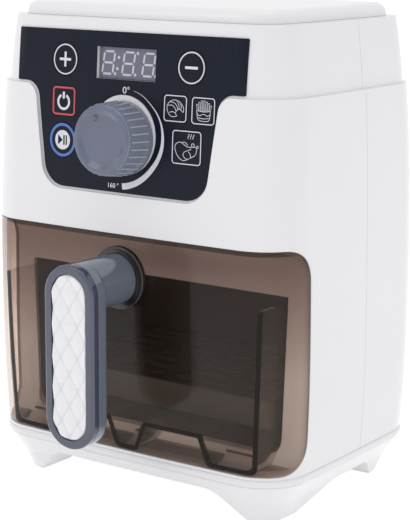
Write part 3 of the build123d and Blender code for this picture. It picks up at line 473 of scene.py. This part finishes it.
def smooth(points, closed=False, steps=6):
    """A smooth line through a few points."""
    count = len(points)
    found = []
    for i in range(count if closed else count - 1):
        if closed:
            a, b, c, d = (points[(i + k) % count] for k in (-1, 0, 1, 2))
        else:
            a, b, c, d = (points[min(max(i + k, 0), count - 1)] for k in (-1, 0, 1, 2))
        for step in range(steps):
            t = step / steps
            found.append(tuple(
                0.5 * (2 * q + (r - p) * t + (2 * p - 5 * q + 4 * r - s) * t ** 2
                       + (3 * q - p - 3 * r + s) * t ** 3)
                for p, q, r, s in zip(a, b, c, d)
            ))
    return found if closed else found + [points[-1]]


def softened(points, cut, steps=4):
    """An open line whose corners are rounded, starting this far from each corner."""
    found = [points[0]]
    for before, corner, after in zip(points, points[1:], points[2:]):
        middle = Vector(corner)
        start = middle + (Vector(before) - middle).normalized() * cut
        end = middle + (Vector(after) - middle).normalized() * cut
        for i in range(steps + 1):
            t = i / steps
            point = start * (1 - t) ** 2 + middle * 2 * t * (1 - t) + end * t ** 2
            found.append(tuple(point))
    return found + [points[-1]]


# Flat shapes as (points, faces), in the same millimetres.
def fill(points):
    """A filled outline."""
    return points, [list(range(len(points)))]


def disc(x, z, radius, count=40):
    """A filled circle."""
    return fill(circle(x, z, radius, count))


# At a sharp corner a stroke widens at most to its width over the first, and points nearer
# together than the second give it no direction.
sharpest = 0.5
shortest = 1e-9


def stroke(points, width, closed=False):
    """A line drawn along points with a pen of this width, or one width for each point."""
    count = len(points)
    widths = width if isinstance(width, list) else [width] * count
    left, right = [], []
    for i, point in enumerate(points):
        before = points[i - 1] if closed or i else point
        after = points[(i + 1) % count] if closed or i < count - 1 else point
        along_in = Vector(point) - Vector(before)
        along_out = Vector(after) - Vector(point)
        along_in, along_out = (
            a.normalized() if a.length > shortest else b.normalized()
            for a, b in ((along_in, along_out), (along_out, along_in))
        )
        along = (along_in + along_out).normalized()
        sharp = max(sharpest, along.dot(along_out))
        offset = Vector((-along.y, along.x)) * widths[i] / 2 / sharp
        left.append(tuple(Vector(point) + offset))
        right.append(tuple(Vector(point) - offset))
    faces = [[i, i + 1, count + i + 1, count + i] for i in range(count - 1)]
    if closed:
        faces.append([count - 1, 0, count, 2 * count - 1])
    return left + right, faces


def ring(x, z, radius, width, count=64):
    """A circle drawn with a pen of this width."""
    return stroke(circle(x, z, radius, count), width, closed=True)


def words(text, x, z, tall, bold=0.0, wide=1.0):
    """Lettering this tall, centred on a point, made bolder or wider if asked."""
    curve = bpy.data.curves.new("lettering", "FONT")
    curve.body = text
    curve.offset = bold
    curve.resolution_u = 5
    writer = bpy.data.objects.new("lettering", curve)
    mesh = bpy.data.meshes.new_from_object(writer)
    bpy.data.objects.remove(writer)
    raw = [v.co.xy for v in mesh.vertices]
    low_x, high_x = min(p.x for p in raw), max(p.x for p in raw)
    low_z, high_z = min(p.y for p in raw), max(p.y for p in raw)
    scale = tall / (high_z - low_z)
    points = [
        (
            x + (p.x - (low_x + high_x) / 2) * scale * wide,
            z + (p.y - (low_z + high_z) / 2) * scale,
        )
        for p in raw
    ]
    return points, [list(face.vertices) for face in mesh.polygons]


# Pieces of the scene.
def closed_mesh(name, vertices, faces, material):
    """A mesh in metres, its faces turned outward."""
    mesh = bpy.data.meshes.new(name)
    mesh.from_pydata(vertices, [], faces)
    solid = bmesh.new()
    solid.from_mesh(mesh)
    bmesh.ops.recalc_face_normals(solid, faces=solid.faces)
    solid.to_mesh(mesh)
    solid.free()
    mesh.materials.append(material)
    return mesh


def in_scene(name, data):
    """A new object in the scene, with this data."""
    thing = bpy.data.objects.new(name, data)
    bpy.context.scene.collection.objects.link(thing)
    return thing


# Marks laid on a face of the model, which is looked for from well before the toy, in metres.
lookout = -0.3
surface_trees = {}


def face_depth(hosts, x, z):
    """Y of the foremost face of these nodes at a point on the front, in metres."""
    found = []
    for host in hosts:
        if host not in surface_trees:
            mesh = nodes[host].data
            surface_trees[host] = BVHTree.FromPolygons(
                [vertex.co for vertex in mesh.vertices],
                [face.vertices for face in mesh.polygons],
            )
        hit = surface_trees[host].ray_cast(Vector((x, lookout, z)), Vector((0, 1, 0)))[0]
        if hit is not None:
            found.append(hit.y)
    return min(found)


def add_mark(name, body, hosts, shapes, material, proud=0.06, sunk=0.05):
    """A thin solid of flat shapes, laid on the faces of its hosts and riding on their body."""
    vertices, faces = [], []
    for points, cells in shapes:
        start = len(vertices)
        count = len(points)
        depths = [face_depth(hosts, x * mm, z * mm) for x, z in points]
        for lift in (-proud * mm, sunk * mm):
            vertices += [(x * mm, y + lift, z * mm) for (x, z), y in zip(points, depths)]
        faces += [[start + i for i in cell] for cell in cells]
        faces += [[start + count + i for i in reversed(cell)] for cell in cells]
        edges = {(a, b) for cell in cells for a, b in zip(cell, cell[1:] + cell[:1])}
        for a, b in sorted(edges):
            if (b, a) not in edges:
                faces.append([start + b, start + a, start + count + a, start + count + b])
    mark = in_scene(name, closed_mesh(name, vertices, faces, material))
    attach(mark, body)


# Printed keys. Each picture's points count from the middle of its key.
key_at = {
    "plus": (-30.2, 175.8),
    "minus": (30.9, 175.7),
    "power": (-30.35, 159.4),
    "play": (-30.6, 144.0),
    "bake": (23.95, 160.15),
    "fries": (37.0, 160.0),
    "roast": (30.0, 145.8),
}


def key_mark(key, kind, shapes, material, proud=0.06):
    """A printed mark on a key, from shapes that count from the key's middle."""
    x, z = key_at[key]
    placed = [([(x + px, z + pz) for px, pz in points], cells) for points, cells in shapes]
    add_mark(f"{key}_{kind}", f"{key}_key", [f"{key}_key"], placed, material, proud)


# The signs of the plus and minus keys, in a ring.
sign_ring = 5.75
sign_line = 0.5
sign_arm = 2.9
sign_width = 1.0
for key in ("plus", "minus"):
    shapes = [
        ring(0, 0, sign_ring, sign_line),
        stroke([(-sign_arm, 0), (sign_arm, 0)], sign_width),
    ]
    if key == "plus":
        shapes += [
            stroke([(0, -sign_arm), (0, -sign_width / 2)], sign_width),
            stroke([(0, sign_width / 2), (0, sign_arm)], sign_width),
        ]
    key_mark(key, "sign", shapes, ink_white)

power_frame = rounded_box(0, 0, width=10.9, tall=10.5, radius=1.3)
power_sign = [
    stroke(arc(-0.1, -0.33, radius=2.8, start=27, end=333), width=1.0),
    stroke([(-0.1, 0.9), (-0.1, 3.6)], width=1.1),
]
key_mark("power", "frame", [stroke(power_frame, width=0.75, closed=True)], ink_red)
key_mark("power", "sign", power_sign, ink_white)

play_sign = [
    fill([(-2.3, 2.0), (0.0, 0.0), (-2.3, -2.0)]),
    stroke([(0.75, -1.9), (0.75, 1.9)], width=0.7),
    stroke([(1.95, -1.9), (1.95, 1.9)], width=0.6),
]
key_mark("play", "ring", [ring(0, 0, radius=6.1, width=1.1)], ink_blue)
key_mark("play", "disc", [disc(0, 0, radius=3.85)], ink_white)
key_mark("play", "sign", play_sign, panel_black, proud=0.1)

# Food keys, with plain pictures of baking, frying and roasting. Each frame has its middle
# across, its width and its height.
food_line = 0.38
thin_line = 0.22
stick_line = 0.154
food_corner = 1.2
food_frames = {"bake": (0.3, 10.1, 9.6), "fries": (0, 10.0, 9.7), "roast": (0, 12.9, 12.4)}
bread = [
    [(-3.3, -1.0), (-3.5, 0.7), (-2.4, 2.4), (-0.4, 3.2), (1.8, 2.8), (3.5, 1.5), (4.2, 0.0),
     (4.0, -1.2)],
    [(-3.3, -1.0), (-2.5, -2.3), (-1.0, -3.1), (1.1, -2.8)],
    [(1.1, -2.8), (0.5, -1.6), (1.1, -0.6), (2.1, -0.1), (3.0, -0.5), (4.0, -1.2)],
    [(-3.2, 1.0), (-1.4, 1.2), (-0.0, 0.4), (0.7, -0.8)],
    [(-2.2, 2.4), (-0.4, 2.2), (0.9, 1.2), (1.5, -0.2)],
    [(-2.3, -1.6), (-0.9, -1.2), (0.5, -1.7)],
    [(1.0, 2.8), (1.9, 1.5), (2.1, -0.1)],
    [(2.7, 2.0), (3.1, 0.8), (2.9, -0.2)],
]
carton = [
    [(-2.9, 0.2), (-2.6, -1.8), (-2.1, -3.2), (-0.7, -3.7), (1.8, -3.7), (2.8, -3.1),
     (3.1, -1.7), (3.3, 0.2)],
    [(-2.9, 0.2), (-1.3, -0.1), (0.2, -0.2), (1.8, -0.1), (3.3, 0.2)],
    [(-2.7, -1.1), (-1.5, -1.7), (0.2, -1.1), (1.9, -1.7), (3.2, -1.1)],
    [(-2.2, -2.5), (0.2, -2.8), (2.7, -2.5)],
]
# Each stick's foot and top, as their middles.
sticks = [
    (-2.4, 0.2, -2.8, 2.4), (-1.5, 0.0, -1.8, 3.2), (-0.6, -0.1, -0.7, 3.8),
    (0.3, -0.1, 0.4, 3.9), (1.2, -0.1, 1.5, 3.5), (2.1, 0.0, 2.5, 3.0),
    (2.9, 0.2, 3.4, 2.2),
]
stick_width = 0.62
bird = [
    [(-5.3, -0.4), (-4.9, 1.1), (-3.5, 1.9), (-2.3, 1.8), (-0.5, 0.8), (1.1, 0.3), (2.9, 0.5),
     (4.4, 0.4), (4.6, -1.2), (3.9, -2.6), (2.5, -3.4), (0.7, -4.3), (-1.3, -4.9),
     (-3.2, -4.1), (-4.5, -2.5)],
    [(-2.3, 1.8), (-1.3, 2.1), (-0.3, 1.8), (0.5, 1.0)],
    [(2.2, -0.2), (1.2, -0.8), (0.0, -1.2), (-1.2, -1.9), (-1.4, -3.1), (-0.4, -4.0),
     (1.0, -4.2), (2.0, -3.4), (1.7, -2.2), (0.9, -1.4)],
    [(2.5, 0.6), (2.3, 1.4), (2.9, 1.8), (3.5, 1.4), (3.4, 0.7)],
    [(4.4, 0.4), (5.0, 1.1), (5.4, 0.5), (4.9, 0.0)],
]
steam = [
    [(x, 3.4), (x - 0.25, 4.1), (x + 0.25, 4.7), (x + 0.1, 5.3)] for x in (0.8, 1.9, 3.0)
]
for key, (middle_x, width, tall) in food_frames.items():
    food_frame = rounded_box(middle_x, 0, width, tall, food_corner)
    shapes = [stroke(food_frame, food_line, closed=True)]
    if key == "bake":
        shapes += [stroke(smooth(line), thin_line) for line in bread]
    if key == "fries":
        shapes += [stroke(smooth(line), thin_line) for line in carton]
        for low_x, low_z, top_x, top_z in sticks:
            corners = [
                (low_x - stick_width / 2, low_z), (top_x - stick_width / 2, top_z),
                (top_x + stick_width / 2, top_z), (low_x + stick_width / 2, low_z),
            ]
            shapes.append(stroke(corners, stick_line))
    if key == "roast":
        shapes.append(stroke(smooth(bird[0], closed=True), thin_line, closed=True))
        shapes += [stroke(smooth(line), thin_line) for line in bird[1:] + steam]
    key_mark(key, "sign", shapes, ink_pale)

# Dial scale on the film: two readings and the band that swells from one to the other.
# Each row is a point on the band's outer edge and the band's width there.
dial_middle = Vector((0.0, 147.0))
band_edge = [
    (4.35, 165.65, 0.08), (8.7, 164.0, 0.2), (12.55, 161.2, 0.32), (15.8, 157.95, 0.45),
    (18.1, 154.2, 0.65), (19.35, 149.8, 1.1), (19.35, 144.9, 1.45), (17.95, 140.3, 1.75),
    (15.3, 136.05, 2.0), (11.65, 132.2, 2.15), (7.3, 129.25, 2.3), (2.9, 127.6, 2.4),
    (-0.15, 127.1, 2.45),
]
band_widths = [width for _, width in smooth([(i, row[2]) for i, row in enumerate(band_edge)])]
band_points = []
for point, width in zip(smooth([row[:2] for row in band_edge]), band_widths):
    inward = (dial_middle - Vector(point)).normalized()
    band_points.append(tuple(Vector(point) + inward * width / 2))
add_mark("dial_band", "casing", ["panel_film"], [stroke(band_points, band_widths)], ink_white)
dial_readings = [
    words("0", 0.0, 165.55, tall=2.6, bold=0.008, wide=1.15),
    words("160", -5.25, 128.3, tall=1.85, bold=0.008, wide=1.05),
    ring(1.85, 166.4, radius=0.42, width=0.24, count=16),
    ring(-2.3, 128.95, radius=0.3, width=0.17, count=16),
]
add_mark("dial_readings", "casing", ["panel_film"], dial_readings, ink_white)

# Display digits, each of seven segments, and the points between them.
digit_lefts = (-12.45, -2.65, 7.05)
digit_width = 5.1
digit_levels = (171.15, 175.45, 179.8)
digit_lean = 0.14
segment = 0.8
segment_end = 0.35
digit_points = (
    (-6.63, 171.3), (-4.92, 177.65), (-5.53, 173.31), (3.17, 171.3), (4.24, 179.6),
    (12.9, 171.3),
)
point_radius = 0.6


def leaning(x, z):
    """A point of a digit, leaned to the right as it rises."""
    return (x + (z - digit_levels[1]) * digit_lean, z)


def bar(x_a, z_a, x_b, z_b):
    """One segment with pointed ends."""
    along = (Vector((x_b, z_b)) - Vector((x_a, z_a))).normalized()
    across = Vector((-along.y, along.x)) * segment / 2
    start = Vector((x_a, z_a)) + along * segment_end
    end = Vector((x_b, z_b)) - along * segment_end
    tip = along * segment / 2
    outline = [start, start + tip + across, end - tip + across, end,
               end - tip - across, start + tip - across]
    return fill([leaning(*point) for point in outline])


digit_shapes = []
low, middle, high = digit_levels
for left in digit_lefts:
    right = left + digit_width
    for level in digit_levels:
        digit_shapes.append(bar(left, level, right, level))
    for x in (left, right):
        digit_shapes.append(bar(x, low, x, middle))
        digit_shapes.append(bar(x, middle, x, high))
digit_shapes += [disc(x, z, point_radius, count=24) for x, z in digit_points]
add_mark("display_digits", "casing", ["display_module"], digit_shapes, segment_pale, proud=0.05)

# Drawer: the dark bond line where the tray's front edge joins the front plate, given by its
# right half. It lies inside the plate, between two depths behind the plate's face.
bond_width = 1.3
bond_corner = 1.4
bond_depths = (1.1, 2.02)
bond_right = [
    (4.7, 22.35), (8.7, 33.25), (35.7, 33.25), (39.9, 22.35), (60.2, 22.35), (61.6, 50.0),
    (62.8, 86.3),
]
bond_line = [(-x, z) for x, z in reversed(bond_right)] + bond_right
bond = [stroke(softened(bond_line, bond_corner), bond_width)]
add_mark("tray_bond", "drawer", ["drawer_front"], bond, bond_dark,
         proud=-bond_depths[0], sunk=bond_depths[1])

# Handle insert: a quilted cushion of moulded plastic in the grip's frame. How far its diamonds
# stand out, the width of its rolled rim and the share of the height that the rim keeps, then
# the parts its mesh has across, up its straight middle and up each round end, and the angle in
# degrees at which the ends' rows start.
quilt_swell = 0.95
insert_roll = 1.0
insert_rim = 0.55
insert_columns, insert_rows, insert_end_rows = 36, 120, 16
insert_tip = 4
# A face of the insert looks smooth where it is turned this far to the front or back.
smooth_from = 0.3


def puffed(x, up):
    """How far the quilting stands out at a place, from 0 in a groove to 1."""
    turns = x / quilt_pitch[0] + up / quilt_pitch[1], x / quilt_pitch[0] - up / quilt_pitch[1]
    return min(1.0 - 2.0 * abs(turn - round(turn)) for turn in turns)


def rolled(inside):
    """The share of its height that the cushion keeps this far inside its outline."""
    fall = 1.0 - min(1.0, inside / insert_roll)
    return insert_rim + (1 - insert_rim) * math.sqrt(1 - fall ** 2)


def with_flat_back(rows, back):
    """Points and faces of a solid: rows of points as its face, and a flat back at this Y."""
    wide = len(rows[0])
    points = [point for row in rows for point in row]
    faces = [
        [row * wide + i, row * wide + i + 1, (row + 1) * wide + i + 1, (row + 1) * wide + i]
        for row in range(len(rows) - 1) for i in range(wide - 1)
    ]
    rim = list(range(wide)) + [row * wide + wide - 1 for row in range(1, len(rows))]
    rim += [(len(rows) - 1) * wide + i for i in range(wide - 2, -1, -1)]
    rim += [row * wide for row in range(len(rows) - 2, 0, -1)]
    start, count = len(points), len(rim)
    points += [(points[i][0], back, points[i][2]) for i in rim]
    for i in range(count):
        after = (i + 1) % count
        faces.append([rim[after], rim[i], start + i, start + after])
    faces.append([start + i for i in range(count)])
    return points, faces


def quilted_insert():
    """A closed solid whose face rises into low diamonds between crossing grooves."""
    low, high = (Vector(corner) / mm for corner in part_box("handle_insert"))
    middle_x, middle_z = (low.x + high.x) / 2, (low.z + high.z) / 2
    radius = (high.x - low.x) / 2
    straight = (high.z - low.z) / 2 - radius
    groove_height = high.y - low.y - quilt_swell
    step = (90 - insert_tip) / insert_end_rows
    ends = [-straight - radius * math.cos(math.radians(insert_tip + step * i))
            for i in range(insert_end_rows)]
    levels = ends + [-straight + 2 * straight * i / insert_rows for i in range(insert_rows + 1)]
    levels += [-level for level in reversed(ends)]
    rows = []
    for up in levels:
        beyond = max(0.0, abs(up) - straight)
        half = math.sqrt(radius ** 2 - beyond ** 2)
        row = []
        for column in range(insert_columns + 1):
            x = half * math.sin(math.radians(-90 + 180 * column / insert_columns))
            inside = radius - math.hypot(x, beyond)
            height = (groove_height + quilt_swell * puffed(x, up)) * rolled(inside)
            row.append((middle_x + x, high.y - height, middle_z + up))
        rows.append(row)
    points, faces = with_flat_back(rows, high.y)
    vertices = [tuple(c * mm for c in point) for point in points]
    mesh = closed_mesh("quilted_insert", vertices, faces, insert_white)
    for face in mesh.polygons:
        face.use_smooth = len(face.vertices) == 4 and abs(face.normal.y) > smooth_from
    insert = in_scene("quilted_insert", mesh)
    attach(insert, "drawer")
    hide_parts("handle_insert")


quilted_insert()


# Studio: pale floor, soft lights and an even world. Floor and world are brighter to the camera
# than they light the object.
toy_middle = (0.0, 0.0, 0.1)
floor_reach = 12.0
floor_glow = (0.2, 0.6)
world_glow = (0.735, 1.0)
# Each lamp's place, its width and height, and its power.
lamps = {
    "key": ((-0.9, -1.5, 1.3), (0.9, 0.9), 4.4),
    "side": ((1.6, -0.3, 0.7), (0.5, 1.2), 0.7),
    "top": ((0.1, 0.2, 1.8), (1.2, 1.2), 4.6),
}


def seen_directly(owner):
    """1 for rays from the camera, off gloss and through glass, 0 for light on the object."""
    rays = add_node(owner, "LightPath").outputs
    found = rays["Is Camera Ray"]
    for name in ("Is Glossy Ray", "Is Transmission Ray"):
        found = compute(owner, "MAXIMUM", found, rays[name])
    return found


def add_floor():
    """A wide pale floor that looks white to the camera and keeps a soft shadow."""
    mesh = bpy.data.meshes.new("floor")
    corners = [
        (x * floor_reach, y * floor_reach, 0) for x, y in ((-1, -1), (1, -1), (1, 1), (-1, 1))
    ]
    mesh.from_pydata(corners, [], [[0, 1, 2, 3]])
    material, shader = new_material(
        "floor", Base_Color=(0.92, 0.92, 0.92), Roughness=0.9, Specular_IOR_Level=0.0,
        Emission_Color=(1.0, 1.0, 1.0),
    )
    glow = spread(material, seen_directly(material), *floor_glow, whole)
    plug_named(material, shader, Emission_Strength=glow)
    mesh.materials.append(material)
    floor = in_scene("floor", mesh)


def add_world():
    """Even light all round, white behind the object."""
    world = bpy.data.worlds.new("studio")
    world.use_nodes = True
    glow = spread(world, seen_directly(world), *world_glow, whole)
    plug_named(world, world.node_tree.nodes["Background"], Color=(1.0, 1.0, 1.0), Strength=glow)
    bpy.context.scene.world = world


def add_lamp(name, place, size, power):
    """A soft lamp turned towards the toy."""
    light = bpy.data.lights.new(name, "AREA")
    light.shape = "RECTANGLE"
    light.size, light.size_y = size
    light.energy = power
    lamp = in_scene(name, light)
    lamp.location = place
    aim = Vector(toy_middle) - Vector(place)
    lamp.rotation_euler = aim.to_track_quat("-Z", "Y").to_euler()


add_floor()
add_world()
for name, (place, size, power) in lamps.items():
    add_lamp(name, place, size, power)


def add_camera():
    """The camera that was fitted to the photograph, at the place it was taken from."""
    data = bpy.data.cameras.new("camera")
    data.sensor_fit = "VERTICAL"
    data.sensor_height = 36.0
    data.lens = 113.2
    data.shift_x = 0.0033
    data.clip_start = 0.01
    camera = in_scene("camera", data)
    azimuth, pitch, roll = (math.radians(a) for a in (35.23, 11.68, 0.36))
    camera.location = (0.3875, -0.5338, 0.2290)
    camera.rotation_mode = "XYZ"
    looking = Vector((
        -math.sin(azimuth) * math.cos(pitch), math.cos(azimuth) * math.cos(pitch),
        -math.sin(pitch),
    ))
    turn = looking.to_track_quat("-Z", "Y").to_matrix()
    camera.rotation_euler = (turn @ Matrix.Rotation(roll, 3, "Z")).to_euler()
    bpy.context.scene.camera = camera


add_camera()
bpy.context.scene.view_settings.view_transform = "Standard"
